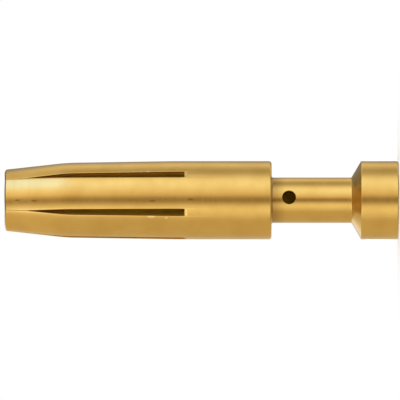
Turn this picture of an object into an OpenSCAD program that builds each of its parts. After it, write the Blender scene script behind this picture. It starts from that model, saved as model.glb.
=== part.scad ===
// Turned crimp socket contact: a slotted socket with spring tines, a waisted crimp neck
// and a wire collar, all cut from one bar.
// Millimetres and degrees. The contact stands on its collar, +Z runs along its axis to the
// tine tips, and the inspection hole faces -Y.

/* [Body] */
// Diameter of the body that carries the tines
body_d = 4.4; // [4:0.1:5.2]
// Length of the body, from its shoulder to the tine tips
body_len = 15; // [13:0.5:20]
// Size of the 45 degree breaks on the turned edges
edge_break = 0.1; // [0.02:0.02:0.2]

/* [Tines] */
// Number of spring tines
tine_count = 6; // [4:1:8]
// Width of the saw cuts between the tines
slit_w = 0.42; // [0.32:0.02:0.52]
// Length of the saw cuts, from the tine tips
slit_len = 10.1; // [8:0.1:11]
// Length of the slope in which each saw cut runs out of the body
run_out_len = 0.17; // [0.1:0.01:0.3]
// Depth of that slope at the end of the saw cut
run_out_depth = 0.07; // [0.04:0.01:0.12]
// Length of the tines that stays straight, from the ends of the saw cuts
straight_len = 0.6; // [0.2:0.1:2]
// How far each tine leans in where its nose starts
lean_in = 0.1; // [0.04:0.02:0.2]
// Length of the noses that are pressed together
nose_len = 3.5; // [2.5:0.1:4.5]
// Length of the closed land at the tips that grips the pin
land_len = 0.85; // [0.6:0.05:1.2]
// Length over which the tines are pressed together, from their tips
closed_len = 1.28; // [1:0.02:1.6]
// Gap left between two tines that are pressed together
land_gap = 0.01; // [0.01:0.01:0.05]
// Angle from the inspection hole to the middle of the nearest tine
tine_turn = 4; // [0:1:30]

/* [Pin socket] */
// Diameter of the mating pin
pin_d = 2.5; // [2.2:0.1:2.8]
// How far the pin springs each tine open
grip = 0.11; // [0.05:0.01:0.2]
// Depth of the lead-in chamfer at the mouth
lead_in = 0.25; // [0.1:0.05:0.35]
// How far the socket bore runs on behind the saw cuts
socket_run_on = 0.9; // [0.4:0.1:1.5]

/* [Crimp neck] */
// Diameter of the neck that is crimped
neck_d = 2.55; // [2.3:0.05:3.2]
// Length of the neck, from the shoulder to the collar's cone
neck_len = 4.5; // [3.5:0.1:6]
// Radius left by the tool where the neck meets the shoulder
neck_fillet = 0.1; // [0.05:0.01:0.2]
// Diameter of the inspection hole
hole_d = 0.78; // [0.5:0.02:1]
// Distance from the shoulder to the middle of the inspection hole
hole_drop = 0.98; // [0.8:0.02:1.5]

/* [Wire collar] */
// Diameter of the collar
collar_d = 4.4; // [4:0.1:5.2]
// Length of the collar's straight part
collar_len = 2.1; // [1.5:0.1:3]
// Angle of the cone between neck and collar, from the axis
cone_angle = 60; // [40:1:75]

/* [Wire bore] */
// Diameter of the bore for the stripped wire
wire_d = 1.75; // [1:0.05:1.9]
// How far the wire bore runs on past the edge of the inspection hole
wire_run_on = 0.15; // [0.05:0.05:0.4]
// Diameter of the wire funnel at the end face
funnel_d = 3.2; // [2.6:0.1:3.6]
// Included angle of the wire funnel
funnel_angle = 90; // [60:5:110]
// Included angle of the drill points at the ends of both bores
drill_angle = 118; // [90:1:140]

/* [Hidden] */
$fn = 96;

// Overshoot of a cutter past the surface that it opens
over = 1;

body_r = body_d / 2;
neck_r = neck_d / 2;
collar_r = collar_d / 2;

// Heights up the axis, from the collar's end face
neck_z = collar_len + (collar_r - neck_r) / tan(cone_angle);
shoulder_z = neck_z + neck_len;
tip_z = shoulder_z + body_len;
slit_z = tip_z - slit_len;
lean_z = slit_z + straight_len;
nose_z = tip_z - nose_len;
land_z = tip_z - land_len;
closed_z = tip_z - closed_len;
hole_z = shoulder_z - hole_drop;

// Tines that move in by one step narrow the cut between them by this many steps
closing_ratio = 2 * sin(180 / tine_count);
// Tine movement that closes the cuts down to that gap
press_in = (slit_w - land_gap) / closing_ratio;
// Slope of the pressed noses, from the axis
nose_angle = atan((press_in - lean_in) / (nose_len - land_len));
// Slope of the leaning tines behind the noses
lean_slope = lean_in / (nose_z - lean_z);

// The land grips the pin, and the bore behind it is what the land was before the pressing
land_r = pin_d / 2 - grip;
socket_r = land_r + press_in;
// The inside of the nose bend lies this much further back than its outside
bend_offset = (body_r - socket_r) * tan(nose_angle / 2);

// Outer radius of the pressed tips, in the middle of a tine
tip_r = body_r - lean_in - nose_len * tan(nose_angle);
// Break on their outer edges, limited by the ring that the mouth leaves there
tip_break = min(edge_break, (tip_r - land_r - lead_in) / 3);

wire_r = wire_d / 2;
wire_top_z = hole_z + hole_d / 2 + wire_run_on;

// Length of the point of a drill
function drill_point(r) = r / tan(drill_angle / 2);

// Outline of the turned bar, with the tines already leaning in
module turned_outline() {
    polygon([
        [0, 0],
        [collar_r - edge_break, 0],
        [collar_r, edge_break],
        [collar_r, collar_len],
        [neck_r, neck_z],
        [neck_r, shoulder_z],
        [body_r - edge_break, shoulder_z],
        [body_r, shoulder_z + edge_break],
        [body_r, lean_z],
        [body_r - lean_slope * (tip_z - lean_z), tip_z],
        [0, tip_z]
    ]);
    translate([neck_r, shoulder_z]) tool_radius();
}

// Concave corner that the tool's nose leaves between neck and shoulder
module tool_radius() {
    difference() {
        translate([0, -neck_fillet]) square(neck_fillet);
        translate([neck_fillet, -neck_fillet]) circle(neck_fillet);
    }
}

// Pin bore: drilled, narrowed by the leaning and pressed tines, and chamfered at its mouth
module pin_socket() {
    bottom_z = slit_z - socket_run_on;
    rotate_extrude() polygon([
        [0, bottom_z - drill_point(socket_r)],
        [socket_r, bottom_z],
        [socket_r, lean_z],
        [socket_r - lean_in, nose_z - bend_offset],
        [land_r, land_z - bend_offset],
        [land_r, tip_z - lead_in],
        [land_r + lead_in + over, tip_z + over],
        [0, tip_z + over]
    ]);
}

// Wire bore: drilled from the collar's end face and flared for the strands
module wire_bore() {
    flare = tan(funnel_angle / 2);
    rotate_extrude() polygon([
        [0, -over],
        [funnel_d / 2 + over * flare, -over],
        [wire_r, (funnel_d / 2 - wire_r) / flare],
        [wire_r, wire_top_z],
        [0, wire_top_z + drill_point(wire_r)]
    ]);
}

// Hole in the side of the neck that shows whether the strands are home
module inspection_hole() {
    translate([0, 0, hole_z]) rotate([90, 0, 0]) cylinder(d = hole_d, h = neck_r + over);
}

// Saw cut on the +X side, narrowed by the tines that lean and are pressed against each other
module saw_cut() {
    half_w = slit_w / 2;
    half_nose = (slit_w - lean_in * closing_ratio) / 2;
    half_gap = land_gap / 2;
    inner_x = land_r / 2;
    translate([inner_x, 0, 0])
        rotate([0, -90, 180])
            linear_extrude(height = body_r + over - inner_x) polygon([
                [slit_z, -half_w],
                [nose_z, -half_nose],
                [closed_z, -half_gap],
                [tip_z + over, -half_gap],
                [tip_z + over, half_gap],
                [closed_z, half_gap],
                [nose_z, half_nose],
                [slit_z, half_w]
            ]);
}

// Slope on the +X side in which the round saw runs out of the body
module saw_run_out() {
    translate([0, slit_w / 2, slit_z])
        rotate([90, 0, 0])
            linear_extrude(height = slit_w) polygon([
                [body_r - run_out_depth, 0],
                [body_r + over, -run_out_len * (1 + over / run_out_depth)],
                [body_r + over, 0]
            ]);
}

// Break on the outer edges of the tips
module tip_edge() {
    rotate_extrude() polygon([
        [tip_r - tip_break, tip_z],
        [tip_r + over, tip_z - tip_break - over],
        [tip_r + over, tip_z + over],
        [tip_r - tip_break, tip_z + over]
    ]);
}

// Round bar of one nose on the +X side, tipped in by the pressing, and kept to its own sector
module pressed_nose() {
    reach = body_r + 2 * over;
    half_angle = 180 / tine_count;
    intersection() {
        translate([0, 0, nose_z - over])
            linear_extrude(height = nose_len + 2 * over)
                polygon([
                    [0, 0],
                    [reach, -reach * tan(half_angle)],
                    [reach, reach * tan(half_angle)]
                ]);
        translate([body_r - lean_in - body_r / cos(nose_angle), 0, nose_z])
            rotate([0, -nose_angle, 0])
                cylinder(r = body_r, h = 4 * (nose_len + over), center = true);
    }
}

// Die that presses the noses in: everything round them that the bent tines leave free
module closing_die() {
    difference() {
        translate([0, 0, nose_z - over / 2]) cylinder(r = body_r + over, h = nose_len + over);
        each_tine() pressed_nose();
    }
}

// One copy for each tine, turned so that +X becomes the middle of the tine
module each_tine() {
    for (i = [0 : tine_count - 1])
        rotate(tine_turn - 90 + i * 360 / tine_count) children();
}

module socket_contact() {
    color([0.84, 0.64, 0.29])
        difference() {
            rotate_extrude() turned_outline();
            pin_socket();
            wire_bore();
            inspection_hole();
            closing_die();
            tip_edge();
            each_tine() rotate(180 / tine_count) {
                saw_cut();
                saw_run_out();
            }
        }
}

socket_contact();
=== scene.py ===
# %% [markdown]
# # A gold-plated crimp socket contact
# The real object is one small piece, 22 mm long, turned from a bar. A round pin pushes into its
# slotted end, a stripped wire goes into the collar, and the neck between is squeezed on the wire.
# The CAD model already has every size, but its faces are flat facets, and polished gold shows
# each facet as a stripe. So this lesson makes a smooth skin of the same sizes, in the order in
# which a workshop makes the part: turn, saw, bend, drill and plate. The first cell loads the CAD
# model as a fixed frame and keeps its box, from which sizes are taken.

# %% Load the CAD frame
from math import atan2, cos, degrees, pi, radians, sin, tan

import bmesh
import bpy
from mathutils import Matrix, Vector


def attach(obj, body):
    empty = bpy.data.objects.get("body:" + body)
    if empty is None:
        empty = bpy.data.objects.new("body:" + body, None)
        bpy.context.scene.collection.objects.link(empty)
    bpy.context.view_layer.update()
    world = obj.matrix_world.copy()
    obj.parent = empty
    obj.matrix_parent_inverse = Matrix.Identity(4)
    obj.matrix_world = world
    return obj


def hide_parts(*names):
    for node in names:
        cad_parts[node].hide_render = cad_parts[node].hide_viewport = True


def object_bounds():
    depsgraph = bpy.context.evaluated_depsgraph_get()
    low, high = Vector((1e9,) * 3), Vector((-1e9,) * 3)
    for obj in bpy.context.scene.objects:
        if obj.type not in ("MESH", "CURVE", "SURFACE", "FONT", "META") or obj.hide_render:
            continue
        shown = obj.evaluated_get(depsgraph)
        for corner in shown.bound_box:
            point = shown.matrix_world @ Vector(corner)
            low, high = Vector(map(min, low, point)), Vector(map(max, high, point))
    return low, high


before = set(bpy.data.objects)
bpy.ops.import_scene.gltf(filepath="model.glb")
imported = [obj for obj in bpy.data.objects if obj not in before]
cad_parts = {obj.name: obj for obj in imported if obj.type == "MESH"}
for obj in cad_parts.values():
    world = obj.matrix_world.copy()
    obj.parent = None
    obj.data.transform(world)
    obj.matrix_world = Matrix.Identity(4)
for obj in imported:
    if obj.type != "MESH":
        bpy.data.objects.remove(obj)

cad_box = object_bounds()
print("CAD nodes:", *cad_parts)
print("CAD box, metres:", [[round(c, 6) for c in corner] for corner in cad_box])

# %% [markdown]
# ## Sizes
# These are the sizes of the drawing, in millimetres. The radius of the body and the height of the
# tips come from the CAD model's box, and all heights are measured up the axis from the end of the
# collar. Blender's tools work in metres and round very small steps away, so the part is drawn a
# thousand times too large, with one Blender unit for each millimetre, and brought down to its real
# size at the end.

# %% Sizes in millimetres
metres = 0.001
body_r = round(cad_box[1][0] / metres, 2)
tip_z = round(cad_box[1][2] / metres, 3)

collar_r = body_r
neck_r = 1.275
socket_r = 1.55
wire_r = 0.875
funnel_r = 1.6
hole_r = 0.39

collar_len = 2.1
cone_angle = radians(60)
neck_len = 4.5
hole_drop = 0.98
slit_len = 10.1
straight_len = 0.6
nose_len = 3.5

tine_count = 6
slit_w = 0.42

neck_z = collar_len + (collar_r - neck_r) / tan(cone_angle)
shoulder_z = neck_z + neck_len
hole_z = shoulder_z - hole_drop
slit_z = tip_z - slit_len
lean_z = slit_z + straight_len
nose_z = tip_z - nose_len
print("heights, mm: neck %.3f, shoulder %.3f, slits %.3f, noses %.3f, tips %.3f"
      % (neck_z, shoulder_z, slit_z, nose_z, tip_z))

# %% [markdown]
# ## How far the tines are bent
# On the real part the six tines lean in a little from their roots, and near the tips a die presses
# them in further until they touch. With six of them, a tine that moves in by one step narrows the
# slits beside it by one step as well. A bent tine keeps the length of its middle layer, so the
# straight tube has to be a touch shorter or longer than the finished part. These few lines work
# that out, so that the tips end at the height in the drawing. The die also squeezes the noses a
# little wider, so they touch some way before the land that grips the pin.

# %% Angles of the bends and length of the straight tube
lean_in = 0.1
land_len = 0.85
seam_gap = 0.01
press_in = slit_w - seam_gap
lean_angle = atan2(lean_in, nose_z - lean_z)
nose_angle = atan2(press_in - lean_in, nose_len - land_len)

wall_mid_r = (body_r + socket_r) / 2
tip_break = 0.09
corner_rise = (body_r - tip_break - wall_mid_r) * sin(nose_angle)
nose_reach = (nose_len - corner_rise) / cos(nose_angle)
blank_tip_z = nose_z + nose_reach

swell = 0.05
touch_z = nose_z + (press_in - swell - lean_in) / sin(nose_angle)
land_z = nose_z + (press_in - lean_in) / sin(nose_angle)
print("straight tube ends at %.3f mm, tines touch from %.3f mm" % (blank_tip_z, touch_z))

# %% [markdown]
# ## Turning
# A turned part is an outline swept round an axis, so it could be stacked from cylinders and cones,
# but then every step would need its own joint. Drawing the outline once and spinning it is closer
# to the lathe, and gives one closed skin. The outline starts at the point of the wire drill, comes
# down the wire bore, goes round the outside up to the tips, and ends at the bottom of the pin
# bore. The third number of each point is the rounding that its corner gets. Only the outer edge of
# the tips is broken flat, so it has two points.

# %% Outline of the turned blank
drill_angle = radians(118)
drill_slope = 1 / tan(drill_angle / 2)
wire_run_on = 0.15
wire_top_z = hole_z + hole_r + wire_run_on
wire_point_z = wire_top_z + wire_r * drill_slope
funnel_z = funnel_r - wire_r
socket_run_on = 0.9
socket_floor_z = slit_z - socket_run_on
socket_point_z = socket_floor_z - socket_r * drill_slope
lead_in = 0.25
land_r = socket_r + (blank_tip_z - lead_in - land_z) * tan(nose_angle)

rim_rounding = 0.04
edge_rounding = 0.05
collar_rounding = 0.1
tool_rounding = 0.1
shoulder_rounding = 0.14
land_rounding = 0.1

outline = [
    (0, wire_point_z, 0),
    (wire_r, wire_top_z, 0),
    (wire_r, funnel_z, edge_rounding),
    (funnel_r, 0, rim_rounding),
    (collar_r, 0, collar_rounding),
    (collar_r, collar_len, edge_rounding),
    (neck_r, neck_z, edge_rounding),
    (neck_r, shoulder_z, tool_rounding),
    (body_r, shoulder_z, shoulder_rounding),
    (body_r, blank_tip_z - tip_break, 0),
    (body_r - tip_break, blank_tip_z, 0),
    (land_r + lead_in, blank_tip_z, rim_rounding),
    (land_r, blank_tip_z - lead_in, rim_rounding),
    (socket_r, land_z, land_rounding),
    (socket_r, socket_floor_z, 0),
    (0, socket_point_z, 0),
]
print("outline with", len(outline), "corners")

# %% [markdown]
# By hand the outline is drawn with one vertex that is extruded from corner to corner. A plane whose
# vertices are merged gives that first vertex.

# %% Draw the outline
def draw_outline(name, points):
    """Draws the outline from one vertex that is extruded from point to point."""
    bpy.ops.object.select_all(action="DESELECT")
    bpy.ops.mesh.primitive_plane_add(size=1)
    bpy.context.object.name = name
    bpy.ops.object.mode_set(mode="EDIT")
    bpy.ops.mesh.merge(type="CENTER")
    pen = Vector((0, 0, 0))
    for number, (radius, height, _) in enumerate(points):
        step = Vector((radius, 0, height)) - pen
        if number == 0:
            bpy.ops.transform.translate(value=step)
        else:
            bpy.ops.mesh.extrude_vertices_move(TRANSFORM_OT_translate={"value": step})
        pen += step
    return bpy.context.object


contact = draw_outline("gold_contact", outline)
print("drawn outline of", len(bmesh.from_edit_mesh(contact.data).verts), "points")

# %% [markdown]
# The tool's nose and the tumbling leave hardly any corner sharp. Each corner that has a rounding is
# picked by its place and gets a vertex bevel, which puts a small arc in place of the point.

# %% Round its corners
near = 0.001


def pick(test):
    """Selects the vertices whose place passes the test, and nothing else."""
    skin = bmesh.from_edit_mesh(bpy.context.object.data)
    bpy.ops.mesh.select_all(action="DESELECT")
    chosen = [vert for vert in skin.verts if test(vert.co)]
    for vert in chosen:
        vert.select = True
    skin.select_flush(True)
    bmesh.update_edit_mesh(bpy.context.object.data)
    return len(chosen)


for radius, height, rounding in outline:
    if rounding:
        corner = Vector((radius, 0, height))
        pick(lambda place: (place - corner).length < near)
        bpy.ops.mesh.bevel(offset=rounding, segments=5, profile=0.5, affect="VERTICES")
print("rounded outline of", len(bmesh.from_edit_mesh(contact.data).verts), "points")

# %% [markdown]
# The outline is swept round in small steps. The steps are a multiple of the six tines, so that
# every tine gets the same faces. Where the outline meets the axis the sweep leaves a bundle of
# points on one spot: they are merged, and the normals are then turned outwards.

# %% Spin the outline
steps_per_tine = 24
spin_steps = steps_per_tine * tine_count
bpy.ops.mesh.select_all(action="SELECT")
bpy.ops.mesh.spin(steps=spin_steps, angle=2 * pi, center=(0, 0, 0), axis=(0, 0, 1))
bpy.ops.mesh.select_all(action="SELECT")
bpy.ops.mesh.remove_doubles(threshold=near / 10)
bpy.ops.mesh.normals_make_consistent(inside=False)
bpy.ops.object.mode_set(mode="OBJECT")
print("turned blank of", len(contact.data.polygons), "faces")

# %% [markdown]
# ## Sawing the slits
# A slitting saw goes right across the tube, so three passes make the six slits. Each pass is a
# thin blade that is subtracted with a Boolean. Where the tines will be pressed together the blade
# is a wedge, because bending alone would push their sides into each other at the tips: the real
# ones are flattened there by the die. A saw is round, so each slit runs out in a short slope at
# its end, which catches the light.

# %% One saw blade
blade_reach = 2 * body_r
blade_over = 1
blade_top = tip_z + blade_over
run_out_len = 0.17
run_out_depth = 0.07
run_out_r = body_r - run_out_depth


def cut_across(place, normal):
    """Cuts all faces along a plane, which adds edges there and removes nothing."""
    bpy.ops.mesh.select_all(action="SELECT")
    bpy.ops.mesh.bisect(plane_co=place, plane_no=normal, threshold=near / 100)


def make_blade():
    """Models the blade that cuts along X, wider where the tines are pressed together."""
    bpy.ops.object.select_all(action="DESELECT")
    bpy.ops.mesh.primitive_cube_add(size=1)
    bpy.ops.object.mode_set(mode="EDIT")
    bpy.ops.transform.resize(value=(2 * blade_reach, slit_w, blade_top - slit_z))
    bpy.ops.transform.translate(value=(0, 0, (blade_top + slit_z) / 2))
    for height in (nose_z, touch_z):
        cut_across((0, 0, height), (0, 0, 1))
    touch_w = slit_w - swell
    pick(lambda place: abs(place.z - touch_z) < near)
    bpy.ops.transform.resize(value=(1, touch_w / slit_w, 1))
    top_w = touch_w + (blade_top - touch_z) * sin(nose_angle)
    pick(lambda place: place.z > blade_top - near)
    bpy.ops.transform.resize(value=(1, top_w / slit_w, 1))
    for side in (-run_out_r, run_out_r):
        cut_across((side, 0, 0), (1, 0, 0))
    drop = (blade_reach - run_out_r) * run_out_len / run_out_depth
    pick(lambda place: abs(place.x) > blade_reach - near and place.z < slit_z + near)
    bpy.ops.transform.translate(value=(0, 0, -drop))
    bpy.ops.object.mode_set(mode="OBJECT")
    return bpy.context.object


blade = make_blade()
print("saw blade of", len(blade.data.polygons), "faces")

# %% [markdown]
# Two jobs come back again and again: turning what is selected about an axis, and cutting one shape
# out of another. Each gets a small helper. A Boolean that is applied leaves its result in the mesh,
# so the cutter can be thrown away.

# %% Turning and cutting
def turn(angle, axis, centre=(0, 0, 0)):
    """Turns what is selected. Without a window the operator turns the other way round."""
    bpy.ops.transform.rotate(value=-angle, orient_axis=axis, center_override=centre)


def select_only(thing):
    """Selects one object, deselects all others and makes it the active one."""
    bpy.ops.object.select_all(action="DESELECT")
    thing.select_set(True)
    bpy.context.view_layer.objects.active = thing


def throw_away(thing):
    """Removes an object that was only a tool, with its mesh."""
    mesh = thing.data
    bpy.data.objects.remove(thing)
    bpy.data.meshes.remove(mesh)


def cut_away(piece, cutter):
    """Subtracts the cutter from the piece with an applied Boolean, and throws the cutter away."""
    bpy.context.view_layer.objects.active = piece
    cut = piece.modifiers.new("cut", "BOOLEAN")
    cut.operation = "DIFFERENCE"
    cut.solver = "EXACT"
    cut.object = cutter
    bpy.ops.object.modifier_apply(modifier=cut.name)
    throw_away(cutter)


sector = 2 * pi / tine_count
print("share of one tine: %.0f degrees" % degrees(sector))

# %% [markdown]
# Every pass uses its own copy of the blade, turned to its angle as in a dividing head. The first
# one is turned by half a share, so that the middle of a tine, and not a slit, faces +X.

# %% Three passes of the saw
for saw_pass in range(tine_count // 2):
    select_only(blade)
    bpy.ops.object.duplicate()
    copied = bpy.context.object
    bpy.ops.object.mode_set(mode="EDIT")
    bpy.ops.mesh.select_all(action="SELECT")
    turn(sector * (saw_pass + 0.5), "Z")
    bpy.ops.object.mode_set(mode="OBJECT")
    cut_away(contact, copied)
throw_away(blade)
print("sawn blank of", len(contact.data.polygons), "faces")

# %% [markdown]
# ## Bending the tines
# A Simple Deform modifier would bend all six the same way, and scaling the tips would turn the tines
# into a cone. The real tines stay parts of the round tube and only hinge inwards. So the skin is
# cut across at a few levels in each bend, and everything beyond a level is turned by a small
# share of the angle, from the tip down to the root.

# %% Levels of the two bends
def bend_levels(middle_z, length, total_angle, count):
    """Heights across a bend, each with its share of the angle."""
    start = middle_z - length / 2
    return [(start + length * (i + 0.5) / count, total_angle / count) for i in range(count)]


root_bend = bend_levels(middle_z=lean_z, length=0.8, total_angle=lean_angle, count=4)
nose_bend = bend_levels(middle_z=nose_z, length=1.1, total_angle=nose_angle - lean_angle, count=11)
hinges = sorted(root_bend + nose_bend, reverse=True)

select_only(contact)
bpy.ops.object.mode_set(mode="EDIT")
for height, _ in hinges:
    cut_across((0, 0, height), (0, 0, 1))
print("levels across the tines:", len(hinges))

# %% [markdown]
# Each tine is bent when it faces +X, and then the whole part is turned on by one sixth. After six
# tines it is back where it started. The last turn brings the middle of a tine close to the side
# that gets the inspection hole, as on the real part.

# %% Bend each tine in turn
for tine in range(tine_count):
    for height, share in hinges:
        pick(lambda place: place.z > height - near
             and abs(atan2(place.y, place.x)) < sector / 2)
        turn(-share, "Y", (wall_mid_r, 0, height))
    bpy.ops.mesh.select_all(action="SELECT")
    turn(sector, "Z")

tine_turn = radians(4)
hole_side = radians(-90)
turn(hole_side + tine_turn, "Z")
grip_r = min(vert.co.xy.length for vert in bmesh.from_edit_mesh(contact.data).verts
             if vert.co.z > tip_z - land_len / 2)
print("radius that grips the pin, mm: %.3f" % grip_r)

# %% [markdown]
# ## Breaking the edges
# Saw cuts leave sharp edges, and tumbling before plating takes their sharpness away. The width is
# only a few hundredths of a millimetre, but without it no edge would catch the light. A Bevel
# modifier that works by angle finds these edges by itself. The turned corners that have their own
# rounding are too smooth for it and stay as they are. Where a slit runs out in a slope, the edge is
# too flat for the modifier, so it is marked sharp to keep the shading from smearing over it.

# %% Soften the sawn edges
run_out_z = slit_z - run_out_len
run_out_points = pick(lambda place: abs(place.z - run_out_z) < run_out_depth
                      and place.xy.length > body_r - 2 * near)
bpy.ops.mesh.mark_sharp()
bpy.ops.object.mode_set(mode="OBJECT")

soften = contact.modifiers.new("soften", "BEVEL")
soften.limit_method = "ANGLE"
soften.angle_limit = radians(40)
soften.width = 0.02
soften.segments = 3
soften.use_clamp_overlap = False
bpy.ops.object.modifier_apply(modifier=soften.name)
print("softened to %d faces, %d points on the run-out edges"
      % (len(contact.data.polygons), run_out_points))

# %% [markdown]
# ## The inspection hole
# A small cross hole in the neck shows whether the wire's strands reach far enough. It is drilled
# after the edges are broken, so its rim stays crisp, as in the photograph. The drill stops in the
# wire bore.

# %% Drill the inspection hole
hole_depth = 2
round_steps = 96
bpy.ops.object.select_all(action="DESELECT")
bpy.ops.mesh.primitive_cylinder_add(
    vertices=round_steps, radius=hole_r, depth=hole_depth,
    location=(0, -hole_depth / 2, hole_z), rotation=(pi / 2, 0, 0))
cut_away(contact, bpy.context.object)
print("hole of %.2f mm at height %.2f mm" % (2 * hole_r, hole_z))

# %% [markdown]
# ## Real size and smooth shading
# The skin shrinks to metres, and the scale is applied, so that the finished object sits at the
# origin unscaled. Faces that meet at a small angle are shaded smooth. Weighted normals then keep
# the large faces flat up to their rounded edges, which a plain average would bend.

# %% Finish the skin
select_only(contact)
bpy.ops.transform.resize(value=(metres, metres, metres), center_override=(0, 0, 0))
bpy.ops.object.transform_apply(location=True, rotation=True, scale=True)
bpy.ops.object.shade_smooth_by_angle(angle=radians(35))
level = contact.modifiers.new("weighted", "WEIGHTED_NORMAL")
level.mode = "FACE_AREA"
level.weight = 50
level.keep_sharp = True
bpy.ops.object.modifier_apply(modifier=level.name)
skin_top = max(vert.co.z for vert in contact.data.vertices)
print("finished skin: %d faces, %.3f mm tall" % (len(contact.data.polygons), skin_top / metres))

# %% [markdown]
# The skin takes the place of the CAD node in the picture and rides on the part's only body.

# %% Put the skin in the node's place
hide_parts("socket_contact")
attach(contact, "root")
print("pieces:", contact.name)

# %% [markdown]
# ## Gold plate
# The plating follows every mark of the lathe, so the metal is not a perfect mirror: fine rings run
# round it, the shine varies a little from place to place, and a few tiny pits stay, drawn as dark
# spots of painted shade. An image would have to be wrapped round the part, so the marks are noise in
# Object coordinates instead, which are brought from metres to millimetres first.

# %% A material that works in millimetres
def add_node(tree, kind, inputs, **settings):
    """Adds a node, sets its properties, and gives its inputs values or the outputs of other nodes."""
    made = tree.nodes.new(kind)
    for name, value in settings.items():
        setattr(made, name, value)
    for key, value in inputs.items():
        if isinstance(value, bpy.types.NodeSocket):
            tree.links.new(value, made.inputs[key])
        else:
            made.inputs[key].default_value = value
    return made


def new_material(name):
    """An empty material, its node tree and its output node."""
    material = bpy.data.materials.new(name)
    material.use_nodes = True
    material.node_tree.nodes.clear()
    return material, material.node_tree, material.node_tree.nodes.new("ShaderNodeOutputMaterial")


gold, gold_tree, gold_out = new_material("gold_plate")
in_metres = add_node(gold_tree, "ShaderNodeTexCoord", {}).outputs["Object"]
spot = add_node(gold_tree, "ShaderNodeVectorMath", {0: in_metres, "Scale": 1 / metres},
                operation="SCALE").outputs["Vector"]
print("started the material", gold.name)

# %% [markdown]
# Squeezed along the axis, plain noise turns into the rings of the lathe. Drawn out along it, noise
# gives the short scuffs that contacts get from rubbing against each other in the plating drum.
# Even noise makes the clouds in which the colour changes, and the cells of a Voronoi texture each
# hold one tiny pit, a dark spot of painted shade. The scales count the marks on each millimetre.

# %% Lathe rings, scuffs, clouds and pits
def map_range(tree, value, source, target):
    """A Map Range node that turns one range into another and stops at its ends."""
    return add_node(tree, "ShaderNodeMapRange", {
        "Value": value, "From Min": source[0], "From Max": source[1],
        "To Min": target[0], "To Max": target[1]}).outputs["Result"]


def plate_noise(scale, detail):
    """Noise on the contact, with a scale of its own along each axis."""
    stretched = add_node(gold_tree, "ShaderNodeMapping", {"Vector": spot, "Scale": scale})
    return add_node(gold_tree, "ShaderNodeTexNoise", {
        "Vector": stretched.outputs["Vector"], "Scale": 1, "Detail": detail}).outputs["Fac"]


scuff_peaks, scuff_depth = (0.62, 0.72), 0.4
cloud_range = (0.35, 0.65)
pits_per_mm = 1.5
pit_rim, pit_shade_strength = (0.03, 0.05), 0.5

rings = plate_noise(scale=(0.3, 0.3, 14), detail=3)
scuff_noise = plate_noise(scale=(9, 9, 0.6), detail=2)
scuffs = map_range(gold_tree, scuff_noise, scuff_peaks, (0, scuff_depth))
cloud_noise = plate_noise(scale=(0.7, 0.7, 0.7), detail=2)
clouds = map_range(gold_tree, cloud_noise, cloud_range, (0, 1))
pit_cells = add_node(gold_tree, "ShaderNodeTexVoronoi", {"Vector": spot, "Scale": pits_per_mm})
pits = map_range(gold_tree, pit_cells.outputs["Distance"], pit_rim, (pit_shade_strength, 0))
print("marks of the lathe and the drum:", len(gold_tree.nodes), "nodes")

# %% [markdown]
# In the bores and down in the slits the metal stays rough from the drill and the saw. Their colour is
# also darkened there as painted shade, which grows with the depth below the outer skin, and that
# skin comes in with the bent tines. At the open mouth the painted shade fades out, and on the way
# there its tone changes from the olive of the slits to a warm one.
# Between the points of the two bores the metal is solid, so the skin that the depth is measured
# from can change there, unseen, from the neck's radius to the body's.

# %% How deep a spot lies below the skin
def math_node(tree, operation, *values):
    """A Math node whose inputs are plain numbers or the outputs of other nodes."""
    return add_node(tree, "ShaderNodeMath", dict(enumerate(values)), operation=operation).outputs[0]


axes = add_node(gold_tree, "ShaderNodeSeparateXYZ", {"Vector": spot}).outputs
height = axes["Z"]
flat_spot = add_node(gold_tree, "ShaderNodeCombineXYZ", {"X": axes["X"], "Y": axes["Y"]})
from_axis = add_node(gold_tree, "ShaderNodeVectorMath", {0: flat_spot.outputs["Vector"]},
                     operation="LENGTH").outputs["Value"]

straight_r = map_range(gold_tree, height, (wire_point_z, socket_point_z), (neck_r, body_r))
leant_in = map_range(gold_tree, height, (lean_z, nose_z), (0, lean_in))
pressed_in = map_range(gold_tree, height, (nose_z, tip_z), (0, nose_len * tan(nose_angle)))
bent_in = math_node(gold_tree, "ADD", leant_in, pressed_in)
skin_r = math_node(gold_tree, "SUBTRACT", straight_r, bent_in)
depth = math_node(gold_tree, "SUBTRACT", skin_r, from_axis)
print("depth below the skin:", len(gold_tree.nodes), "nodes")

# %% [markdown]
# The square corner between neck and shoulder gets painted shade as well: its colour is darkened
# there.
# The distance from the corner, along the neck or up the shoulder, sets how dark it is.

# %% Painted shade in the slits, bores and neck corner, and the roughness of sawn metal
mouth_starts, mouth_bright = tip_z - 0.3, tip_z - 0.12
shade_depths = (0.15, 0.4)
sawn_depths, sawn_roughness = (0.04, 0.12), 0.4
inside = map_range(gold_tree, height, (mouth_starts, mouth_bright), (1, 0))
# Painted shade: the colour of the slits and bores darkens with the depth below the skin.
deep_share = map_range(gold_tree, depth, shade_depths, (0, 1))
sawn_metal = map_range(gold_tree, depth, sawn_depths, (0, sawn_roughness))
depth_shade = math_node(gold_tree, "MULTIPLY", deep_share, inside)
near_mouth = map_range(gold_tree, height, (nose_z, land_z), (0, 1))
rough = math_node(gold_tree, "MULTIPLY", sawn_metal, inside)

# Painted shade: the neck is darkened near its corner under the shoulder.
corner_shade_reach = 0.8
corner_shade_strength = 0.65
above_shoulder = math_node(gold_tree, "SUBTRACT", height, shoulder_z)
from_shoulder = math_node(gold_tree, "ABSOLUTE", above_shoulder)
from_neck = math_node(gold_tree, "SUBTRACT", from_axis, neck_r)
from_corner = math_node(gold_tree, "MAXIMUM", from_shoulder, from_neck)
corner_shade = map_range(gold_tree, from_corner, (0, corner_shade_reach), (corner_shade_strength, 0))
print("dull bores, slits and neck corner:", len(gold_tree.nodes), "nodes")
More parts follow.
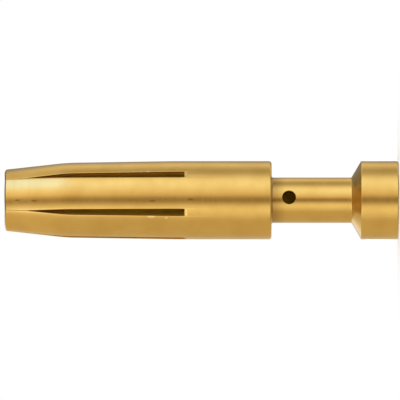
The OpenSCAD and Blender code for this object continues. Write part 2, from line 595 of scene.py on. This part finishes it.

# %% [markdown]
# Handling has left a few nicks beside the slits, near the roots of the tines, and some short dark
# flecks along the front. The nicks are dents in the bump, and their pale colour is a painted
# highlight.
# Each is a small spot at its own height, in millimetres, and at its own angle from the side that has
# the inspection hole. The flecks are drawn out along the axis, so heights are squeezed before the
# distance to the middle of the spot is measured.

# %% Nicks and flecks
nick_spots = [(14.08, 40.5), (14.03, -32.3), (13.9, -32.3),
              (13.77, -32.3), (13.05, -34), (13.95, -87)]
nick_size = 0.09
fleck_spots = [(21.4, -7.8), (20.45, -8.6), (13.83, -8.8), (11.7, -6.4)]
fleck_size, fleck_stretch = 0.07, 3
fleck_strength = 0.5


def outer_r(spot_z):
    """Radius of the outer skin at a height, where it comes in with the bent tines."""
    lean_share = min(max(spot_z - lean_z, 0) / (nose_z - lean_z), 1)
    return body_r - lean_share * lean_in - max(spot_z - nose_z, 0) * tan(nose_angle)


def small_spots(places, size, stretch):
    """Marks a small spot at each height and angle, drawn out along the axis."""
    squeezed = add_node(gold_tree, "ShaderNodeVectorMath", {0: spot, 1: (1, 1, 1 / stretch)},
                        operation="MULTIPLY").outputs["Vector"]
    marked = 0
    for spot_z, spot_angle in places:
        way = hole_side + radians(spot_angle)
        middle = (outer_r(spot_z) * cos(way), outer_r(spot_z) * sin(way), spot_z / stretch)
        from_middle = add_node(gold_tree, "ShaderNodeVectorMath", {0: squeezed, 1: middle},
                               operation="DISTANCE").outputs["Value"]
        mark = map_range(gold_tree, from_middle, (size / 2, size), (1, 0))
        marked = math_node(gold_tree, "MAXIMUM", mark, marked)
    return marked


nicks = small_spots(nick_spots, nick_size, 1)
fleck_marks = small_spots(fleck_spots, fleck_size, fleck_stretch)
flecks = math_node(gold_tree, "MULTIPLY", fleck_marks, fleck_strength)
print("nicks: %d, flecks: %d" % (len(nick_spots), len(fleck_spots)))

# %% [markdown]
# The colour of the gold is built up in layers, one for each kind of mark: the clouds first, then the
# painted shade of the pits, the flecks, the painted highlight of the nicks, and last the painted
# shade in the neck corner, the slits and the bores, which covers the others. On metal the base colour
# tints whatever the surface mirrors, so a pale colour gives a bright mirror and a dark one a dim one.

# %% Colours of the gold
bright_gold = (0.88, 0.555, 0.155, 1)
deep_gold = (0.82, 0.5, 0.13, 1)
nick_glint_gold = (1, 0.72, 0.3, 1)
slit_shade_gold = (0.66, 0.48, 0.03, 1)
mouth_shade_gold = (0.6, 0.36, 0.09, 1)
dark_gold = (0.3, 0.16, 0.04, 1)


def blend_colours(tree, factor, first, second):
    """A Mix node between two colours. Among its sockets, the colours are inputs 6 and 7."""
    return add_node(tree, "ShaderNodeMix", {"Factor": factor, 6: first, 7: second},
                    data_type="RGBA").outputs[2]


plate = blend_colours(gold_tree, clouds, bright_gold, deep_gold)
# Painted shade: each tiny pit is a darker spot.
pit_shaded = blend_colours(gold_tree, pits, plate, dark_gold)
flecked = blend_colours(gold_tree, flecks, pit_shaded, dark_gold)
# Painted highlight: the nicks get a paler, brighter gold; their dents are in the bump.
nick_glinted = blend_colours(gold_tree, nicks, flecked, nick_glint_gold)
# Painted shade in the neck corner.
corner_shaded = blend_colours(gold_tree, corner_shade, nick_glinted, dark_gold)
# Painted shade in the slits and bores, olive deep down and warmer towards the mouth.
shade_gold = blend_colours(gold_tree, near_mouth, slit_shade_gold, mouth_shade_gold)
shade = blend_colours(gold_tree, depth_shade, corner_shaded, shade_gold)
print("colours of the gold:", len(gold_tree.nodes), "nodes")

# %% [markdown]
# One metal shader takes that colour. Rings and sawn metal set its roughness, and rings, scuffs and
# nicks its bump, whose height is a few thousandths of a millimetre.

# %% The finished gold
ring_range = (0.3, 0.7)
plate_roughness = (0.19, 0.26)
nick_depth = 5
bump_height = 0.004
bump_strength = 0.25

shine = map_range(gold_tree, rings, ring_range, plate_roughness)
carved = math_node(gold_tree, "ADD", scuffs, math_node(gold_tree, "MULTIPLY", nicks, nick_depth))
marks = add_node(gold_tree, "ShaderNodeBump", {
    "Strength": bump_strength, "Distance": bump_height * metres,
    "Height": math_node(gold_tree, "SUBTRACT", rings, carved)})
metal = add_node(gold_tree, "ShaderNodeBsdfPrincipled", {
    "Metallic": 1, "Base Color": shade, "Normal": marks.outputs["Normal"],
    "Roughness": math_node(gold_tree, "ADD", shine, rough)})
gold_tree.links.new(metal.outputs["BSDF"], gold_out.inputs["Surface"])

contact.data.materials.clear()
contact.data.materials.append(gold)
print("gold plate with", len(gold_tree.nodes), "nodes")

# %% [markdown]
# ## The camera
# The photograph looks square at the contact's side, with the tips to the left, from so far away
# that nothing tapers. A long lens at more than half a metre does the same. The contact stands
# upright, so the camera is rolled by a quarter turn instead. The inspection hole sits a little
# above the middle, which gives the angle from which the part is seen.

# %% Camera
view_turn = radians(-7.8)
view_distance = 0.6
frame_width = 0.0225
frame_mid = 0.011154
frame_lift = 0.000015
to_camera = Vector((sin(view_turn), -cos(view_turn), 0))
picture_up = Vector((cos(view_turn), sin(view_turn), 0))
picture_right = picture_up.cross(to_camera)
look_at = Vector((0, 0, frame_mid)) + picture_up * frame_lift

bpy.ops.object.camera_add(location=look_at + to_camera * view_distance)
camera = bpy.context.object
camera.rotation_euler = Matrix((picture_right, picture_up, to_camera)).transposed().to_euler()
camera.data.sensor_width = 36
camera.data.lens = camera.data.sensor_width * view_distance / frame_width
camera.data.clip_start = 0.01
camera.data.clip_end = 10
bpy.context.scene.camera = camera
print("lens of %.0f mm at %.2f m" % (camera.data.lens, view_distance))

# %% [markdown]
# ## What the gold mirrors
# Polished metal has hardly any look of its own: it shows the room in bands that run along the
# part. In the photograph the room is a light tent. A dark slit for the lens lies straight ahead,
# a bright window above it, a smaller one below it, a dim seam over the top, and the warm tone of
# the table from below. Lamps alone would leave the gold black between their reflections, so the
# tent is made as a tube of cloth round the contact, coloured by the direction.
#
# The body and the neck mirror the ring of cloth at the part's own level. The noses lean in, so they
# mirror a ring above it, and the collar's cone mirrors that ring and the one at the top. Each band
# of a ring has an angle from the lens, counted upwards in the picture, a brightness and a tint.
# Gold swallows most of the blue, so only a bluish window can give its palest glints.

# %% Bands of the tent
cloth_tint = (1, 0.99, 0.91)
table_tint = (1, 0.9, 0.69)
lens_tint = (1, 0.84, 0.62)
window_tint = (1, 1.07, 1.18)
glint_tint = (1, 1.42, 2.75)

level_ring = [
    (-180, 0.78, cloth_tint), (-145, 0.6, cloth_tint), (-120, 0.61, table_tint),
    (-60, 0.61, table_tint), (-30, 1.02, cloth_tint), (-18, 0.92, cloth_tint),
    (-7, 0.47, lens_tint), (0, 0.22, lens_tint), (7, 0.36, lens_tint),
    (17, 0.84, table_tint), (40, 1.07, window_tint), (56, 1.16, window_tint),
    (70, 0.93, window_tint), (84, 0.56, cloth_tint), (98, 0.44, cloth_tint),
    (126, 0.88, cloth_tint), (155, 0.36, cloth_tint), (180, 0.16, cloth_tint),
]
upper_ring = [
    (-180, 0.95, glint_tint), (-155, 0.98, window_tint), (-130, 0.64, table_tint),
    (-60, 0.68, table_tint), (-30, 1.26, window_tint), (-7, 0.54, lens_tint),
    (0, 0.27, lens_tint), (7, 0.44, lens_tint), (17, 0.92, table_tint),
    (36, 1.15, window_tint), (46, 1.1, glint_tint), (68, 1.1, glint_tint),
    (80, 0.72, cloth_tint), (98, 0.7, cloth_tint), (126, 0.7, cloth_tint),
    (150, 0.22, window_tint), (180, 0.25, window_tint),
]
top_ring = [
    (-180, 0.7, cloth_tint), (-130, 0.6, table_tint), (-14, 0.7, table_tint),
    (0, 0.36, lens_tint), (14, 1.05, cloth_tint), (40, 1, cloth_tint),
    (100, 0.45, table_tint), (150, 0.2, lens_tint), (180, 0.2, lens_tint),
]
print("bands of the three rings:", len(level_ring), len(upper_ring), len(top_ring))

# %% [markdown]
# The colour of a band depends on its angle from the lens. That angle runs from minus to plus half a
# turn, and is brought to a place between 0 and 1, which is what a colour ramp reads.

# %% Places round the tent
cloth, cloth_tree, cloth_out = new_material("tent_cloth")
cloth_spot = add_node(cloth_tree, "ShaderNodeTexCoord", {}).outputs["Object"]
cloth_axes = add_node(cloth_tree, "ShaderNodeSeparateXYZ", {"Vector": cloth_spot}).outputs
around = math_node(cloth_tree, "ARCTAN2", cloth_axes["Y"], cloth_axes["X"])
lens_side = atan2(to_camera.y, to_camera.x)
past_lens = math_node(cloth_tree, "SUBTRACT", around, lens_side)
from_lens = math_node(cloth_tree, "WRAP", past_lens, pi, -pi)
ramp_place = map_range(cloth_tree, from_lens, (-pi, pi), (0, 1))
print("places round the tent:", len(cloth_tree.nodes), "nodes")

# %% [markdown]
# On the cloth each ring becomes a colour ramp that runs once round the tent, and the rings fade
# into each other with the height.

# %% Cloth of the tent
tent_low, tent_high = -0.1, 0.135
tent_mid = (tent_low + tent_high) / 2
upper_starts, upper_full = 0.025, 0.036
top_starts, top_full = 0.055, 0.095


def fill_ramp(ramp, stops):
    """Puts the colours at their places on a colour ramp that has two stops at first."""
    ramp.elements.remove(ramp.elements[1])
    ramp.elements[0].position, first_colour = stops[0]
    ramp.elements[0].color = (*first_colour, 1)
    for position, colour in stops[1:]:
        ramp.elements.new(position).color = (*colour, 1)


def glow_with(tree, colour, output, strength=1):
    """Lets a cloth or a card give light of a colour."""
    glow = add_node(tree, "ShaderNodeEmission", {"Color": colour, "Strength": strength})
    tree.links.new(glow.outputs["Emission"], output.inputs["Surface"])


def ring_colour(bands):
    """Colour of one ring of cloth, all round the tent."""
    ramp = add_node(cloth_tree, "ShaderNodeValToRGB", {"Fac": ramp_place})
    fill_ramp(ramp.color_ramp, [((angle + 180) / 360, [brightness * share for share in tint])
                                for angle, brightness, tint in bands])
    return ramp.outputs["Color"]


def ring_share(starts, full):
    """Share of a ring that grows with the height on the tent."""
    return map_range(cloth_tree, cloth_axes["Z"], (starts - tent_mid, full - tent_mid), (0, 1))


lower_cloth = blend_colours(cloth_tree, ring_share(upper_starts, upper_full),
                            ring_colour(level_ring), ring_colour(upper_ring))
whole_cloth = blend_colours(cloth_tree, ring_share(top_starts, top_full),
                            lower_cloth, ring_colour(top_ring))
glow_with(cloth_tree, whole_cloth, cloth_out)
print("tent cloth with", len(cloth_tree.nodes), "nodes")

# %% [markdown]
# Only the metal sees the tent: it is hidden from the camera, and the floor gets no light from it.

# %% Light tent
tent_r = 0.08


def only_for_metal(thing, name, material):
    """Names a thing and lets it show in reflections, and nowhere else."""
    thing.name = name
    thing.data.materials.append(material)
    thing.visible_camera = False
    thing.visible_diffuse = False
    thing.visible_transmission = False
    thing.visible_shadow = False


bpy.ops.object.select_all(action="DESELECT")
bpy.ops.mesh.primitive_cylinder_add(
    vertices=round_steps, radius=tent_r, depth=tent_high - tent_low, end_fill_type="NOTHING",
    location=(0, 0, tent_mid))
only_for_metal(bpy.context.object, "light_tent", cloth)
print("tent of %.0f mm across" % (2 * tent_r / metres))

# %% [markdown]
# The tent has a lid and a base, both dim. The broken edges of the tips mirror the dark middle of the
# lid, and the cone of the collar its paler rim. The rounded ends of the body and the collar look
# down on the base. So thin dark lines are drawn along all these edges.

# %% Lid and base of the tent
def tent_end(name, height, middle_colour, rim_colour, fade):
    """A round end of the tent. Between two shares of its radius, one colour fades into another."""
    paper, tree, output = new_material(name + "_cloth")
    paper_spot = add_node(tree, "ShaderNodeTexCoord", {}).outputs["Object"]
    from_middle = add_node(tree, "ShaderNodeVectorMath", {0: paper_spot}, operation="LENGTH")
    fade_radii = [share * tent_r for share in fade]
    rim_share = map_range(tree, from_middle.outputs["Value"], fade_radii, (0, 1))
    glow_with(tree, blend_colours(tree, rim_share, middle_colour, rim_colour), output)
    bpy.ops.object.select_all(action="DESELECT")
    bpy.ops.mesh.primitive_circle_add(
        vertices=round_steps, radius=tent_r, fill_type="NGON", location=(0, 0, height))
    only_for_metal(bpy.context.object, name, paper)


tent_end("tent_lid", tent_high, middle_colour=(0.14, 0.15, 0.13, 1),
         rim_colour=(0.38, 0.41, 0.38, 1), fade=(0.36, 0.48))
tent_end("tent_base", tent_low, middle_colour=(0.4, 0.39, 0.35, 1),
         rim_colour=(0.36, 0.34, 0.3, 1), fade=(0, 1))
print("lid at %.0f mm, base at %.0f mm" % (tent_high / metres, tent_low / metres))

# %% [markdown]
# One small bright card hangs high on the lower side of the picture. Only the short slopes at the
# ends of the slits face it, and it puts the spark on them.

# %% Spark card
spark_turn, spark_rise = radians(-43), radians(42)
spark_reach = 0.08
spark_size = 0.04
spark_light = 1.3
white = (1, 1, 1, 1)

spark_paper, spark_tree, spark_out = new_material("spark_card")
glow_with(spark_tree, white, spark_out, spark_light)
spark_way = (to_camera * cos(spark_turn) + picture_up * sin(spark_turn)) * cos(spark_rise)
spark_way.z = sin(spark_rise)
bpy.ops.object.select_all(action="DESELECT")
bpy.ops.mesh.primitive_plane_add(
    size=spark_size, location=Vector((0, 0, slit_z * metres)) + spark_way * spark_reach,
    rotation=spark_way.to_track_quat("Z", "Y").to_euler())
only_for_metal(bpy.context.object, "spark_card", spark_paper)
print("spark card %.0f mm away" % (spark_reach / metres))

# %% [markdown]
# ## Floor, lamp and background
# The contact stands on plain white card. The metal does not mirror the card, because in the
# photograph the tent goes on below the part.

# %% Floor
floor_r = 0.12
card_white = (0.96, 0.96, 0.96, 1)
card, card_tree, card_out = new_material("white_card")
card_face = add_node(card_tree, "ShaderNodeBsdfDiffuse", {"Color": card_white})
card_tree.links.new(card_face.outputs["BSDF"], card_out.inputs["Surface"])
bpy.ops.object.select_all(action="DESELECT")
bpy.ops.mesh.primitive_circle_add(vertices=round_steps, radius=floor_r, fill_type="NGON")
floor = bpy.context.object
floor.name = "floor_card"
floor.data.materials.append(card)
floor.visible_glossy = False
print("floor of %.0f mm across" % (2 * floor_r / metres))

# %% [markdown]
# A soft lamp behind the contact throws its shadow forward. A round area lamp has no corners that
# could show in the shadow.

# %% Lamp
lamp_high = 0.2
lamp_behind = 0.15
bpy.ops.object.light_add(type="AREA", location=Vector((0, 0, lamp_high)) - to_camera * lamp_behind)
lamp = bpy.context.object
lamp.name = "soft_lamp"
lamp.rotation_euler = (look_at - lamp.location).to_track_quat("-Z", "Y").to_euler()
lamp.data.shape = "DISK"
lamp.data.size = 0.12
lamp.data.energy = 0.2
lamp.visible_glossy = False
print("lamp of %.2f W" % lamp.data.energy)

# %% [markdown]
# The background is white where the camera, or a mirror, looks past everything, and a little dimmer
# as a light. The Light Path node tells which of the two a ray needs.

# %% Background
room_strength = 0.85
backdrop_strength = 1

world = bpy.data.worlds.new("white_room")
bpy.context.scene.world = world
world.use_nodes = True
room = world.node_tree
room.nodes.clear()
ray = add_node(room, "ShaderNodeLightPath", {}).outputs
mirrored = math_node(room, "MAXIMUM", ray["Is Glossy Ray"], ray["Is Transmission Ray"])
seen = math_node(room, "MAXIMUM", ray["Is Camera Ray"], mirrored)
room_light = add_node(room, "ShaderNodeBackground", {"Color": white, "Strength": room_strength})
backdrop = add_node(room, "ShaderNodeBackground", {"Color": white, "Strength": backdrop_strength})
choose = add_node(room, "ShaderNodeMixShader", {
    "Fac": seen, 1: room_light.outputs["Background"], 2: backdrop.outputs["Background"]})
add_node(room, "ShaderNodeOutputWorld", {"Surface": choose.outputs["Shader"]})
bpy.context.scene.view_settings.view_transform = "Standard"
print("white room with", len(room.nodes), "nodes")

# %% [markdown]
# ## Size
# The skin has to stay inside the CAD model's box.
